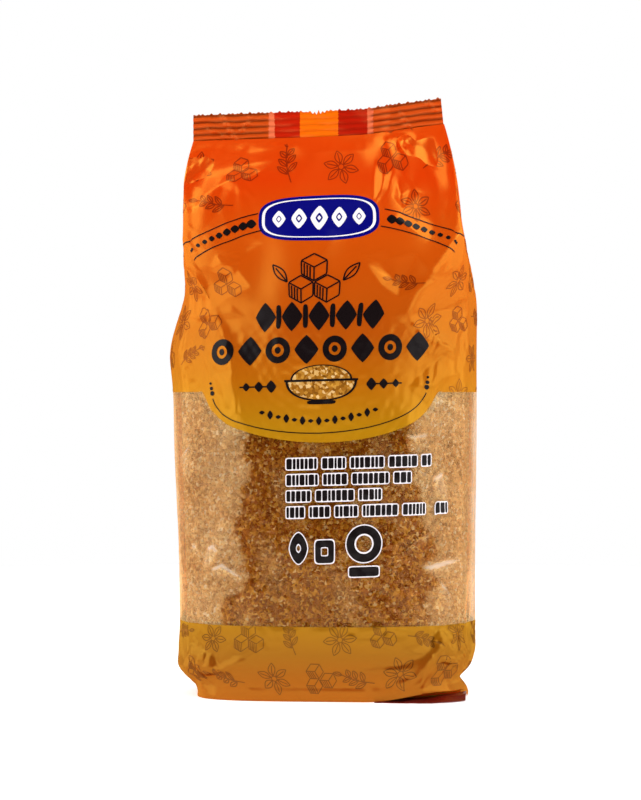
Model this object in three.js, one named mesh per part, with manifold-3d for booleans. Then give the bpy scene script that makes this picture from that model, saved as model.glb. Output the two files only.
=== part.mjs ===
// A one kilogram pouch of cane sugar: a side-gusseted tube of plastic film, filled, stood on its
// folded base and closed by a ribbed heat seal along the top. It is shut, so it is one solid.
// Millimetres, +Z up, the printed face towards -Y, the origin under the middle of the base.

import * as THREE from 'three';
import { mergeVertices } from 'three/addons/utils/BufferGeometryUtils.js';
import Module from 'manifold-3d';

// The film as it lies flat, before it is filled
const FACE_WIDTH = 93; // front or back panel, which is also the width of the seal
const GUSSET_WIDTH = 57; // one side panel, folded inward along its middle at the top
const FILM_ROUND = 2 * (FACE_WIDTH + GUSSET_WIDTH);

// The filled pouch
const BODY_DEPTH = 68;
const BODY_ROUNDNESS = 2.35; // exponent of the filled section: 2 is an ellipse, more is boxier
const BASE_ROUNDNESS = 4;
const BASE_DEPTH = 60;
const BASE_CLEAR_Z = 26; // above this height the section no longer feels the folded base
const FILL_Z = 138; // the side folds start to close in above this height
const SEAL_Z = 205; // lower edge of the seal at its left end
const SEAL_HEIGHT = 10.5;
const SEAL_THICKNESS = 1.2; // four layers of film pressed into ribs
const SEAL_MIDDLE_THICKNESS = 0.9; // two layers, between the folded sides
const SIDE_FOLD_DEPTH = 28; // how far each side is tucked in at the seal
const RIB_PITCH = 2.1;
const RIB_HEIGHT = 0.28;
const SIDE_RIDGE = 1.2; // how far the crease down each side panel stands out

// How finely the film is divided: steps across each panel, then heights
const FRONT_STEPS = 34;
const GUSSET_STEPS = 12;
const BACK_STEPS = 16;
const LOW_ROWS = [0, 0.9, 1.7, 2.7, 4, 6, 8, 10.5, 13.5, 17, 21, 26];
const MIDDLE_STEP = 6;
const MIDDLE_TOP = 110;
const UPPER_STEP = 3.4;
const SEAL_STEPS = 24;
const RIB_ROWS = 10;

const COLOURS = { pouch: 0xd9590c };

// Eased step from 0 at low to 1 at high
function ease(low, high, value) {
  const t = Math.min(1, Math.max(0, (value - low) / (high - low)));
  return t * t * (3 - 2 * t);
}

// A hump of height 1 at the centre that fades over the given reach
function hump(value, centre, reach) {
  return Math.exp(-(((value - centre) / reach) ** 2));
}

// Half widths of the pouch to the left and right of its axis: it leans a little to the left
function leftReach(z) {
  const foot = 47.2 + 8.2 * ease(2, 12, z) + 2.3 * ease(22, 105, z);
  const bulge = 1.7 * hump(z, 129, 13) - 1.5 * hump(z, 170, 17);
  return foot + bulge - 4.2 * ease(122, 154, z) - 4.4 * ease(188, 216, z);
}

function rightReach(z) {
  const foot = 52.9 - 3.2 * hump(z, 6, 3.4) + 3 * ease(6, 18, z) + 0.8 * ease(30, 110, z);
  return foot - 6.5 * ease(143, 185, z) - 9.8 * ease(180, 226, z);
}

// How far the top is closed: 0 where the pouch is full, 1 at the seal
function closing(z) {
  return Math.min(1, Math.max(0, (z - FILL_Z) / (SEAL_Z + 2 - FILL_Z)));
}

function halfDepth(z) {
  const foot = BASE_DEPTH / 2 + (BODY_DEPTH - BASE_DEPTH) / 2 * ease(0, BASE_CLEAR_Z, z);
  const closed = Math.cos(Math.PI / 2 * closing(z)) ** 1.1;
  return SEAL_MIDDLE_THICKNESS / 2 + (foot - SEAL_MIDDLE_THICKNESS / 2) * closed;
}

// The seal climbs to the right, and its right end turns up a little more
function sealRise(x) {
  return 0.03 * (x + 49) + 0.085 * Math.max(0, x - 14);
}

// The seal is pushed back in the middle and swings forward at its right end
function sealSway(x) {
  return 1.6 * hump(x, -4, 20) - 1.8 * ease(18, 42, x);
}

// Points of a closed superellipse of half sizes 1 and depth ratio, spaced by film length
function superellipse(exponent, ratio) {
  const fine = [];
  const samples = 2000;
  for (let i = 0; i <= samples; i++) {
    const angle = 2 * Math.PI * i / samples - Math.PI / 2;
    const c = Math.cos(angle);
    const s = Math.sin(angle);
    fine.push([
      Math.sign(c) * Math.abs(c) ** (2 / exponent),
      Math.sign(s) * Math.abs(s) ** (2 / exponent),
    ]);
  }
  const length = [0];
  for (let i = 1; i <= samples; i++) {
    const dx = fine[i][0] - fine[i - 1][0];
    const dy = (fine[i][1] - fine[i - 1][1]) * ratio;
    length.push(length[i - 1] + Math.hypot(dx, dy));
  }
  return (share) => {
    const wanted = (share - Math.floor(share)) * length[samples];
    let i = length.findIndex((l) => l >= wanted);
    i = Math.max(1, i);
    const t = (wanted - length[i - 1]) / Math.max(1e-9, length[i] - length[i - 1]);
    return [0, 1].map((k) => fine[i - 1][k] * (1 - t) + fine[i][k] * t);
  };
}

const bodySection = superellipse(BODY_ROUNDNESS, BODY_DEPTH / 115);
const baseSection = superellipse(BASE_ROUNDNESS, BASE_DEPTH / 101);

// The section at the seal: flat faces, with each side folded in as a V
function foldedSection(u) {
  const half = FACE_WIDTH / 2;
  const around = ((u + half) % FILM_ROUND + FILM_ROUND) % FILM_ROUND - half;
  const foldShare = SIDE_FOLD_DEPTH / half;
  if (around <= half) return [around / half, -1];
  if (around < half + GUSSET_WIDTH) {
    const across = (around - half) / (GUSSET_WIDTH / 2) - 1;
    return [1 - foldShare * (1 - Math.abs(across)), across];
  }
  if (around <= 3 * half + GUSSET_WIDTH) {
    return [(FACE_WIDTH + GUSSET_WIDTH - around) / half, 1];
  }
  const across = (around - 3 * half - GUSSET_WIDTH) / (GUSSET_WIDTH / 2) - 1;
  return [-1 + foldShare * (1 - Math.abs(across)), -across];
}

// Where the steps lie round the film, from the left edge of the front panel
function stepsAround() {
  const half = FACE_WIDTH / 2;
  const panels = [
    [-half, FACE_WIDTH, FRONT_STEPS],
    [half, GUSSET_WIDTH, GUSSET_STEPS],
    [half + GUSSET_WIDTH, FACE_WIDTH, BACK_STEPS],
    [3 * half + GUSSET_WIDTH, GUSSET_WIDTH, GUSSET_STEPS],
  ];
  return panels.flatMap(([start, width, steps]) =>
    Array.from({ length: steps }, (_, i) => start + width * i / steps));
}

function heights() {
  const rows = [...LOW_ROWS];
  while (rows.at(-1) + MIDDLE_STEP < MIDDLE_TOP) rows.push(rows.at(-1) + MIDDLE_STEP);
  const steps = Math.round((SEAL_Z + 2 - rows.at(-1)) / UPPER_STEP);
  const start = rows.at(-1);
  for (let i = 1; i <= steps; i++) rows.push(start + (SEAL_Z + 2 - start) * i / steps);
  return rows;
}

// Creases and dents of the film. Each runs along a path of [x, z] points on the front (side -1)
// or back (side 1); out is how far it stands out, or is pressed in where negative, and reach is
// how wide it is. A sharp one has a crest like a fold, a soft one is rounded.
const CREASES = [
  // the front edges of the full part, where the face turns into the sides
  { side: -1, path: [[-50, 160], [-40, 145], [-34.5, 132], [-31, 118], [-29, 104]], out: 2.2, reach: 6, sharp: true },
  { side: -1, path: [[-27, 96], [-25, 70], [-26, 40]], out: 0.9, reach: 8, sharp: false },
  { side: -1, path: [[34, 98], [31, 72], [38, 50], [35, 32]], out: 1.0, reach: 8, sharp: false },
  // the pointed fold at the right, below the shoulder
  { side: -1, path: [[49, 168], [40, 155], [31.5, 140], [36, 133], [46, 127]], out: 2.4, reach: 4.5, sharp: true },
  { side: -1, path: [[52, 146], [42, 142]], out: -2.4, reach: 7, sharp: false },
  // the pinch under the right end of the seal
  { side: -1, path: [[29, 201], [28, 190]], out: -4.2, reach: 4, sharp: false },
  { side: -1, path: [[37, 196], [41, 187]], out: -2.4, reach: 6, sharp: false },
  { side: -1, path: [[22, 203], [27, 193], [23, 183], [25, 176]], out: 2, reach: 3.2, sharp: true },
  { side: -1, path: [[27, 193], [33, 203]], out: 1.4, reach: 3, sharp: true },
  // broad folds that fan out from the left end of the seal and from the middle
  { side: -1, path: [[-18, 203], [-30, 190], [-44, 176]], out: 1.8, reach: 7, sharp: false },
  { side: -1, path: [[-34, 182], [-24, 168], [-22, 156]], out: -1.4, reach: 8, sharp: false },
  { side: -1, path: [[10, 168], [20, 176], [32, 172]], out: 1.3, reach: 6, sharp: false },
  { side: -1, path: [[-6, 199], [14, 199]], out: -1.0, reach: 4, sharp: false },
  // tucks at the two lower corners of the front
  { side: -1, path: [[-56, 17], [-46, 9.5], [-40, 9]], out: -3.4, reach: 3.2, sharp: true },
  { side: -1, path: [[-42, 8], [-30, 14]], out: 1.2, reach: 3, sharp: true },
  { side: -1, path: [[57, 19], [46, 23]], out: -2.6, reach: 3.6, sharp: true },
  { side: -1, path: [[46, 24], [38, 13], [36, 6]], out: 1.6, reach: 3.2, sharp: true },
  // the back, which has its own broad folds and tucks
  { side: 1, path: [[-40, 168], [-20, 150], [-8, 146]], out: 1.6, reach: 8, sharp: false },
  { side: 1, path: [[48, 158], [34, 146], [30, 120], [28, 96]], out: 1.8, reach: 7, sharp: true },
  { side: 1, path: [[-46, 150], [-36, 136], [-32, 110]], out: 1.8, reach: 7, sharp: true },
  { side: 1, path: [[-26, 198], [-16, 186], [4, 178]], out: 1.6, reach: 6, sharp: false },
  { side: 1, path: [[26, 200], [20, 186], [30, 174]], out: -2, reach: 6, sharp: false },
  { side: 1, path: [[-54, 16], [-42, 8]], out: -2.6, reach: 4, sharp: true },
  { side: 1, path: [[54, 16], [42, 8]], out: -2.6, reach: 4, sharp: true },
];

// A shallow, regular unevenness, as the sugar settles behind the film
const LUMPS = { height: 0.7, across: 31, along: 37 };

function distanceToPath(path, x, z) {
  let best = Infinity;
  for (let i = 1; i < path.length; i++) {
    const [ax, az] = path[i - 1];
    const [bx, bz] = path[i];
    const run = (bx - ax) ** 2 + (bz - az) ** 2;
    const t = Math.min(1, Math.max(0, ((x - ax) * (bx - ax) + (z - az) * (bz - az)) / run));
    best = Math.min(best, Math.hypot(x - ax - t * (bx - ax), z - az - t * (bz - az)));
  }
  return best;
}

// How far the film stands out from its plain form at a point
function relief(x, y, z) {
  const full = 1 - closing(z);
  const facing = Math.abs(y) / Math.max(1, halfDepth(z));
  const edge = Math.abs(x) / (x < 0 ? leftReach(z) : rightReach(z));
  let out = LUMPS.height * full * ease(8, 40, z)
    * Math.sin(x / LUMPS.across * Math.PI + y / 19 + 0.6)
    * Math.sin(z / LUMPS.along * Math.PI + x / 60);
  for (const crease of CREASES) {
    if (Math.sign(y) !== crease.side) continue;
    const far = distanceToPath(crease.path, x, z) / crease.reach;
    const profile = crease.sharp ? Math.exp(-1.6 * far) : Math.exp(-far * far);
    out += crease.out * profile * ease(0, 0.35, facing) * ease(0.2, 4, z);
  }
  return out * (1 - 0.85 * ease(0.8, 1, edge)) * (1 - ease(SEAL_Z - 5, SEAL_Z + 1, z));
}

// The crease down the middle of each side panel stands out where the pouch is full
function sideRidge(u) {
  const middle = (FACE_WIDTH + GUSSET_WIDTH) / 2;
  const off = Math.abs(Math.abs(u > FILM_ROUND / 2 ? u - FILM_ROUND : u) - middle);
  return Math.exp(-off / 4);
}

// The end of the folded bottom seal shows as a lip under the front, towards the right
function lip(x, y, z) {
  const slot = ease(0.9, 1.7, z) * (1 - ease(2.7, 4, z));
  return -2.2 * slot * ease(8, 26, x) * ease(0, -12, y) * (y < 0 ? 1 : 0);
}

function ringAt(z, steps) {
  const closed = closing(z) ** 1.15;
  const footed = 1 - ease(0, BASE_CLEAR_Z, z);
  const depth = halfDepth(z);
  const plain = steps.map((u) => {
    const body = bodySection(u / FILM_ROUND);
    const base = baseSection(u / FILM_ROUND);
    const folded = foldedSection(u);
    return [0, 1].map((k) =>
      (body[k] * (1 - footed) + base[k] * footed) * (1 - closed) + folded[k] * closed);
  });
  const widest = Math.max(...plain.map(([x]) => Math.abs(x)));
  const ridgeHeight = SIDE_RIDGE * (1 - closed) * ease(12, 40, z);
  const flat = plain.map(([x, y], i) => {
    const reach = x < 0 ? leftReach(z) : rightReach(z);
    return [(reach - ridgeHeight * (1 - sideRidge(steps[i]))) * x / widest, y * depth];
  });
  const raised = ease(SEAL_Z - 26, SEAL_Z, z);
  return flat.map(([x, y], i) => {
    const [ax, ay] = flat[(i + flat.length - 1) % flat.length];
    const [bx, by] = flat[(i + 1) % flat.length];
    const run = Math.hypot(bx - ax, by - ay);
    const out = relief(x, y, z) + lip(x, y, z);
    return new THREE.Vector3(
      x + out * (by - ay) / run,
      y - out * (bx - ax) / run + sealSway(x) * raised,
      z + sealRise(x) * raised,
    );
  });
}

// A closed skin over rings of equal count, capped at both ends
function skin(rings) {
  const positions = [];
  const faces = [];
  const count = rings[0].length;
  rings.forEach((ring) => ring.forEach((p) => positions.push(p.x, p.y, p.z)));
  for (let row = 0; row + 1 < rings.length; row++) {
    for (let i = 0; i < count; i++) {
      const a = row * count + i;
      const b = row * count + (i + 1) % count;
      faces.push(a, b, b + count, a, b + count, a + count);
    }
  }
  const cap = (row, upwards) => {
    const outline = rings[row].map((p) => new THREE.Vector2(p.x, p.y));
    for (const [a, b, c] of THREE.ShapeUtils.triangulateShape(outline, [])) {
      const at = [a, b, c].map((i) => row * count + i);
      faces.push(...(upwards ? at : at.reverse()));
    }
  };
  cap(0, false);
  cap(rings.length - 1, true);
  const geometry = new THREE.BufferGeometry();
  geometry.setAttribute('position', new THREE.Float32BufferAttribute(positions, 3));
  geometry.setIndex(faces);
  return geometry;
}

function makeBody() {
  const steps = stepsAround();
  return skin(heights().map((z) => ringAt(z, steps)));
}

// The heat seal: a flat strip with ribs along it, thicker where the sides are folded in
function makeSeal() {
  const left = -leftReach(SEAL_Z + 2);
  const right = rightReach(SEAL_Z + 2);
  const foot = SEAL_Z - 1.5;
  const top = SEAL_Z + SEAL_HEIGHT;
  const rings = [];
  for (let row = 0; row <= RIB_ROWS * 2; row++) {
    const z = foot + (top - foot) * row / (RIB_ROWS * 2);
    const narrow = 0.32 * Math.max(0, z - SEAL_Z - 1);
    const ring = [];
    const edge = (side) => {
      for (let i = 0; i <= SEAL_STEPS; i++) {
        const share = side < 0 ? i / SEAL_STEPS : 1 - i / SEAL_STEPS;
        const x = left + 0.1 * narrow + (right - left - narrow) * share;
        const folded = ease(4, 0, Math.min(x - left, right - x) - SIDE_FOLD_DEPTH);
        const thickness = SEAL_MIDDLE_THICKNESS + (SEAL_THICKNESS - SEAL_MIDDLE_THICKNESS) * folded;
        const rib = RIB_HEIGHT * folded * Math.cos(2 * Math.PI * (z - foot) / RIB_PITCH);
        ring.push(new THREE.Vector3(
          x,
          side * thickness / 2 + rib + sealSway(x),
          z + sealRise(x),
        ));
      }
    };
    edge(-1);
    edge(1);
    rings.push(ring);
  }
  return skin(rings);
}

function manifoldOf(wasm, geometry) {
  const merged = mergeVertices(geometry, 1e-4);
  return new wasm.Manifold(new wasm.Mesh({
    numProp: 3,
    vertProperties: new Float32Array(merged.attributes.position.array),
    triVerts: new Uint32Array(merged.index.array),
  }));
}

function geometryOf(solid) {
  const { vertProperties, triVerts } = solid.getMesh();
  const geometry = new THREE.BufferGeometry();
  geometry.setAttribute('position', new THREE.Float32BufferAttribute(vertProperties, 3));
  geometry.setIndex(new THREE.Uint32BufferAttribute(triVerts, 1));
  return geometry;
}

// Stands the pouch on z = 0 with its outline centred on the origin
function centred(geometry) {
  geometry.computeBoundingBox();
  const { min, max } = geometry.boundingBox;
  return geometry.translate(-(min.x + max.x) / 2, -(min.y + max.y) / 2, -min.z);
}

const wasm = await Module();
wasm.setup();
const joined = manifoldOf(wasm, makeBody()).add(manifoldOf(wasm, makeSeal()));
const whole = joined.simplify(0.01); // drops the slivers along the join

const pouch = new THREE.Mesh(
  centred(geometryOf(whole)),
  new THREE.MeshStandardMaterial({ color: COLOURS.pouch, roughness: 0.3, metalness: 0 }),
);
pouch.name = 'pouch';

const group = new THREE.Group();
group.add(pouch);
export default group;
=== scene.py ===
# A one kilogram pouch of brown cane sugar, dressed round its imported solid. The film, the sugar
# behind its clear window, the print and the heat seal each have a section, in the order in which
# a packing line puts them together. Sizes are in millimetres and become metres in the meshes.
import math

import bpy
import numpy as np
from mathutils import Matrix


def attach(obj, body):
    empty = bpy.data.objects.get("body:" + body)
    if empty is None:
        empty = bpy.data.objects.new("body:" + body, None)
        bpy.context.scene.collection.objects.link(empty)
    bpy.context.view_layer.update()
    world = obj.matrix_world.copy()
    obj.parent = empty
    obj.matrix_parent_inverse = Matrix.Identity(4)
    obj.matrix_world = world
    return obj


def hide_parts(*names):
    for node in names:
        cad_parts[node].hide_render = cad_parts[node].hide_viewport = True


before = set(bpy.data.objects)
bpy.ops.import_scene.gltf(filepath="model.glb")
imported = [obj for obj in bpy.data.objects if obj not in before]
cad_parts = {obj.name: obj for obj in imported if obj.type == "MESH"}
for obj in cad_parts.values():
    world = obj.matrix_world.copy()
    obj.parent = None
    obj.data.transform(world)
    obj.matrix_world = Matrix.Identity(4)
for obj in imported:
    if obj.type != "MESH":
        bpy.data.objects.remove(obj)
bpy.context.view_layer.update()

bpy.ops.object.select_all(action="DESELECT")

# Camera
# Level, at the pouch's mid height, a little to its right: the photograph's long view, about
# 0.9 m away. The lens follows from how much height the picture takes in at the pouch.
MM = 0.001
CAMERA_AZIMUTH = math.radians(4.7)
CAMERA_DISTANCE = 900
CAMERA_HEIGHT = 109
CAMERA_ASIDE = -1.0
PICTURE_HEIGHT = 298.7
SENSOR = 36

camera_across = math.cos(CAMERA_AZIMUTH) * CAMERA_ASIDE + math.sin(CAMERA_AZIMUTH) * CAMERA_DISTANCE
camera_along = math.sin(CAMERA_AZIMUTH) * CAMERA_ASIDE - math.cos(CAMERA_AZIMUTH) * CAMERA_DISTANCE
bpy.ops.object.camera_add(
    location=(camera_across * MM, camera_along * MM, CAMERA_HEIGHT * MM),
    rotation=(math.pi / 2, 0, CAMERA_AZIMUTH),
)
camera = bpy.context.object
camera.data.sensor_width = SENSOR
camera.data.lens = SENSOR * CAMERA_DISTANCE / PICTURE_HEIGHT
bpy.context.scene.camera = camera

# Film
# One tube of glossy polypropylene, printed on its inner side and clear in the window. It is
# formed round the sugar: flat panels and tucked sides at the seal, a rounded box below, a
# folded base under it. It is drawn here as a grid: columns round the tube, rows up it.
FACE_WIDTH = 93
GUSSET_WIDTH = 57
HALF_ROUND = FACE_WIDTH + GUSSET_WIDTH
SIDE_FOLD_DEPTH = 28
BODY_WIDTH = 115
BODY_DEPTH = 68
BASE_WIDTH = 101
BASE_DEPTH = 60
BASE_CLEAR_Z = 26
FILL_Z = 138
SEAL_Z = 205
FILM_TOP_Z = 206
SEAL_GAP = 0.9


def ease(low, high, value):
    t = np.clip((value - low) / (high - low), 0, 1)
    return t * t * (3 - 2 * t)


def hump(value, centre, reach):
    return np.exp(-(((value - centre) / reach) ** 2))


def left_reach(z):
    """Half width of the pouch to the left of its axis. It leans a little to the left."""
    foot = 47.2 + 8.2 * ease(2, 12, z) + 2.3 * ease(22, 105, z)
    bulge = 1.7 * hump(z, 129, 13) - 1.5 * hump(z, 170, 17)
    return foot + bulge - 4.2 * ease(122, 154, z) - 4.4 * ease(188, 216, z)


def right_reach(z):
    foot = 52.9 - 3.2 * hump(z, 6, 3.4) + 3 * ease(6, 18, z) + 0.8 * ease(30, 110, z)
    return foot - 6.5 * ease(143, 185, z) - 9.8 * ease(180, 226, z)


def closing(z):
    """0 where the pouch is full, 1 at the seal."""
    return np.clip((z - FILL_Z) / (SEAL_Z + 2 - FILL_Z), 0, 1)


def half_depth(z):
    foot = BASE_DEPTH / 2 + (BODY_DEPTH - BASE_DEPTH) / 2 * ease(0, BASE_CLEAR_Z, z)
    closed = np.clip(np.cos(np.pi / 2 * closing(z)), 0, 1) ** 1.1
    return SEAL_GAP / 2 + (foot - SEAL_GAP / 2) * closed


def side_reach(x, z):
    """Half width of the pouch at height z, on the side where x lies."""
    return np.where(x < 0, left_reach(z), right_reach(z))


def run_along(steps_x, steps_y):
    """How far along a curve each of its points lies, from the steps between them."""
    return np.concatenate([[0], np.cumsum(np.hypot(steps_x, steps_y))])


def rounded(angle, power):
    """Points of a superellipse of half sizes 1, at these angles."""
    return [np.sign(f(angle)) * np.abs(f(angle)) ** (2 / power) for f in (np.cos, np.sin)]


def superellipse(exponent, ratio, u):
    """Points of a superellipse of half sizes 1, at film positions u round the tube."""
    x, y = rounded(np.linspace(-np.pi / 2, 3 * np.pi / 2, 4001), exponent)
    run = run_along(np.diff(x), np.diff(y) * ratio)
    wanted = u / (2 * HALF_ROUND) % 1 * run[-1]
    return np.interp(wanted, run, x), np.interp(wanted, run, y)


def folded(u):
    """The section at the seal: two flat faces, with each side tucked in as a V."""
    face = FACE_WIDTH / 2
    middle = HALF_ROUND / 2
    tucked = 1 - SIDE_FOLD_DEPTH / face
    knots = [-2 * middle, -middle - GUSSET_WIDTH / 2, -middle, -face, face, middle,
             middle + GUSSET_WIDTH / 2, 2 * middle]
    x = np.interp(u, knots, [0, -1, -tucked, -1, 1, tucked, 1, 0])
    y = np.interp(u, knots, [1, 1, 0, -1, -1, 0, 1, 1])
    return x, y


def unit_section(u, z):
    closed = closing(z) ** 1.15
    footed = 1 - ease(0, BASE_CLEAR_Z, z)
    body = superellipse(2.35, BODY_DEPTH / BODY_WIDTH, u)
    base = superellipse(4, BASE_DEPTH / BASE_WIDTH, u)
    flat = folded(u)
    return [(body[k] * (1 - footed) + base[k] * footed) * (1 - closed) + flat[k] * closed
            for k in (0, 1)]


level_z = np.linspace(0, SEAL_Z + 2, 208)
level_u, level_grid = np.meshgrid(np.linspace(-HALF_ROUND, HALF_ROUND, 601), level_z)
level_widest = np.abs(unit_section(level_u, level_grid)[0]).max(axis=1)


def plain_film(u, z):
    """The film's place in plan, without folds, where the tube is at height z."""
    x, y = unit_section(u, z)
    ridge = 1.2 * (1 - closing(z) ** 1.15) * ease(12, 40, z)
    off = np.abs(np.abs(u) - HALF_ROUND / 2)
    reach = side_reach(x, z) - ridge * (1 - np.exp(-off / 4))
    return x * reach / np.interp(z, level_z, level_widest), y * half_depth(z)


def seal_rise(x):
    return 0.03 * (x + 49) + 0.085 * np.maximum(0, x - 14)


def seal_sway(x):
    return 1.6 * hump(x, -4, 20) - 1.8 * ease(18, 42, x)


# Folds of the film, each along a path of (x, z) points on the front (side -1) or the back
# (side 1): how far it stands out, how wide it is, and whether its crest is sharp.
FOLDS = [
    # edges of the full part, where the front turns into the sides
    (-1, [(-50, 160), (-40, 145), (-34.5, 132), (-31, 118), (-29, 104)], 2.2, 6, True),
    (-1, [(-27, 96), (-25, 70), (-26, 40)], 0.9, 8, False),
    (-1, [(34, 98), (31, 72), (38, 50), (35, 32)], 1.0, 8, False),
    # the pointed fold at the right, below the shoulder
    (-1, [(49, 168), (40, 155), (31.5, 140), (36, 133), (46, 127)], 2.4, 4.5, True),
    (-1, [(52, 146), (42, 142)], -2.4, 7, False),
    # the pinch under the right end of the seal
    (-1, [(29, 201), (28, 190)], -4.2, 4, False),
    (-1, [(37, 196), (41, 187)], -2.4, 6, False),
    (-1, [(22, 203), (27, 193), (23, 183), (25, 176)], 2, 3.2, True),
    (-1, [(27, 193), (33, 203)], 1.4, 3, True),
    # broad folds that fan out from the left end of the seal and from the middle
    (-1, [(-18, 203), (-30, 190), (-44, 176)], 1.8, 7, False),
    (-1, [(-34, 182), (-24, 168), (-22, 156)], -1.4, 8, False),
    (-1, [(10, 168), (20, 176), (32, 172)], 1.3, 6, False),
    (-1, [(-6, 199), (14, 199)], -1.0, 4, False),
    # tucks at the two lower corners of the front
    (-1, [(-56, 17), (-46, 9.5), (-40, 9)], -3.4, 3.2, True),
    (-1, [(-42, 8), (-30, 14)], 1.2, 3, True),
    (-1, [(57, 19), (46, 23)], -2.6, 3.6, True),
    (-1, [(46, 24), (38, 13), (36, 6)], 1.6, 3.2, True),
    # the back, which has its own broad folds and tucks
    (1, [(-40, 168), (-20, 150), (-8, 146)], 1.6, 8, False),
    (1, [(48, 158), (34, 146), (30, 120), (28, 96)], 1.8, 7, True),
    (1, [(-46, 150), (-36, 136), (-32, 110)], 1.8, 7, True),
    (1, [(-26, 198), (-16, 186), (4, 178)], 1.6, 6, False),
    (1, [(26, 200), (20, 186), (30, 174)], -2, 6, False),
    (1, [(-54, 16), (-42, 8)], -2.6, 4, True),
    (1, [(54, 16), (42, 8)], -2.6, 4, True),
]


def distance_to_path(path, x, z):
    best = np.full(x.shape, np.inf)
    for (ax, az), (bx, bz) in zip(path, path[1:]):
        run = (bx - ax) ** 2 + (bz - az) ** 2
        t = np.clip(((x - ax) * (bx - ax) + (z - az) * (bz - az)) / run, 0, 1)
        best = np.minimum(best, np.hypot(x - ax - t * (bx - ax), z - az - t * (bz - az)))
    return best


def fold_relief(x, y, z):
    facing = np.abs(y) / np.maximum(1, half_depth(z))
    edge = np.abs(x) / side_reach(x, z)
    lumps = np.sin(x / 31 * np.pi + y / 19 + 0.6) * np.sin(z / 37 * np.pi + x / 60)
    out = 0.7 * (1 - closing(z)) * ease(8, 40, z) * lumps
    for side, path, height, reach, sharp in FOLDS:
        far = distance_to_path(path, x, z) / reach
        profile = np.exp(-1.6 * far) if sharp else np.exp(-far * far)
        here = np.where(np.sign(y) == side, 1.0, 0.0)
        out += height * profile * here * ease(0, 0.35, facing) * ease(0.2, 4, z)
    return out * (1 - 0.85 * ease(0.8, 1, edge)) * (1 - ease(SEAL_Z - 5, SEAL_Z + 1, z))


def film_at(u, z, inset=0.0, folds=1.0):
    """Points of the film, in millimetres, inset inwards where asked."""
    x, y = plain_film(u, z)
    ax, ay = plain_film(u - 0.5, z)
    bx, by = plain_film(u + 0.5, z)
    run = np.maximum(1e-6, np.hypot(bx - ax, by - ay))
    out = folds * fold_relief(x, y, z) - inset
    raised = ease(SEAL_Z - 26, SEAL_Z, z)
    return np.stack([x + out * (by - ay) / run,
                     y - out * (bx - ax) / run + seal_sway(x) * raised,
                     z + seal_rise(x) * raised], axis=-1)


# Heights where the film changes: its foot, the top of the printed band, the label's lower edge
BAND_TOP_Z = 27.5
LABEL_SIDE_Z = 112
LABEL_DROP = 18.2
LABEL_HALF_WIDTH = 43.8
WINDOW_HALF = FACE_WIDTH / 2 + GUSSET_WIDTH
COARSE_ROWS = [15, 41, 57]
COARSE_COLUMNS = 160
FINER = 3
ROW_COUNTS = [rows * FINER for rows in COARSE_ROWS]
COLUMNS = COARSE_COLUMNS * FINER


def foot_z(u):
    """The film's lower edge, lifted at the front right where the folded base shows."""
    return 3.4 * ease(16, 46, u) * (1 - ease(60, 70, u))


def label_z(u):
    bowl = np.sqrt(np.clip(1 - (u / LABEL_HALF_WIDTH) ** 2, 0, 1))
    return LABEL_SIDE_Z - LABEL_DROP * bowl


def row_edges(u):
    return [foot_z(u), np.full_like(u, BAND_TOP_Z), label_z(u), np.full_like(u, FILM_TOP_Z)]


def row_heights(u, counts):
    """Heights of the rows at film positions u: evenly spaced between the changes."""
    edges = row_edges(u)
    rows = [low + (high - low) * i / count
            for low, high, count in zip(edges, edges[1:], counts) for i in range(count)]
    return np.array(rows + [edges[-1]])


def round_tube(columns):
    return np.linspace(-HALF_ROUND, HALF_ROUND, columns + 1)[:-1]


def tube_faces(rows, columns, keep=None):
    """Quads of a tube's grid, for the cells where keep is true."""
    keep = np.ones((rows - 1, columns), bool) if keep is None else keep
    row, column = np.nonzero(keep)
    after = (column + 1) % columns
    return np.stack([row * columns + column, row * columns + after,
                     (row + 1) * columns + after, (row + 1) * columns + column], axis=1)


def mesh_object(name, points, faces, scale=MM, smooth=True):
    """A mesh from points in millimetres."""
    mesh = bpy.data.meshes.new(name)
    mesh.from_pydata((np.asarray(points).reshape(-1, 3) * scale).tolist(), [], faces)
    mesh.polygons.foreach_set("use_smooth", np.full(len(mesh.polygons), smooth))
    mesh.update()
    made = bpy.data.objects.new(name, mesh)
    bpy.context.scene.collection.objects.link(made)
    return made


def refined(points, parts, wrap):
    """The rows of points with parts steps for each one, on a smooth curve through them."""
    if wrap:
        ring = np.concatenate([points[-1:], points, points[:2]])
    else:
        ring = np.concatenate([2 * points[:1] - points[1:2], points,
                               2 * points[-1:] - points[-2:-1]])
    a, b, c, d = (ring[i:len(ring) - 3 + i] for i in range(4))
    steps = [0.5 * (2 * b + (c - a) * t + (2 * a - 5 * b + 4 * c - d) * t ** 2
                    + (3 * b - a - 3 * c + d) * t ** 3) for t in np.arange(parts) / parts]
    curve = np.stack(steps, axis=1).reshape(-1, *points.shape[1:])
    return curve if wrap else np.concatenate([curve, points[-1:]])


# The film relaxes as cloth ten times its size, over a smooth body of sugar. Its rest form is a
# plain tube, so it creases where the pouch takes up its spare width. The base, the seal and the
# crests of the sharp folds are held.
CLOTH_SCALE = 0.01
CLOTH_FRAMES = 28
RELAXED_ROUND = 297
SPARE_HEIGHT = 1.005
SUGAR_SHOULDER_Z = 112
SUGAR_TOP_Z = 150
SUGAR_COLUMNS = 180


def sugar_dome(z):
    """How the heap of sugar narrows above its shoulder."""
    over = np.clip((z - SUGAR_SHOULDER_Z) / (SUGAR_TOP_Z - SUGAR_SHOULDER_Z), 0, 1)
    return np.sqrt(np.maximum(0.02, 1 - over ** 2.4))


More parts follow.
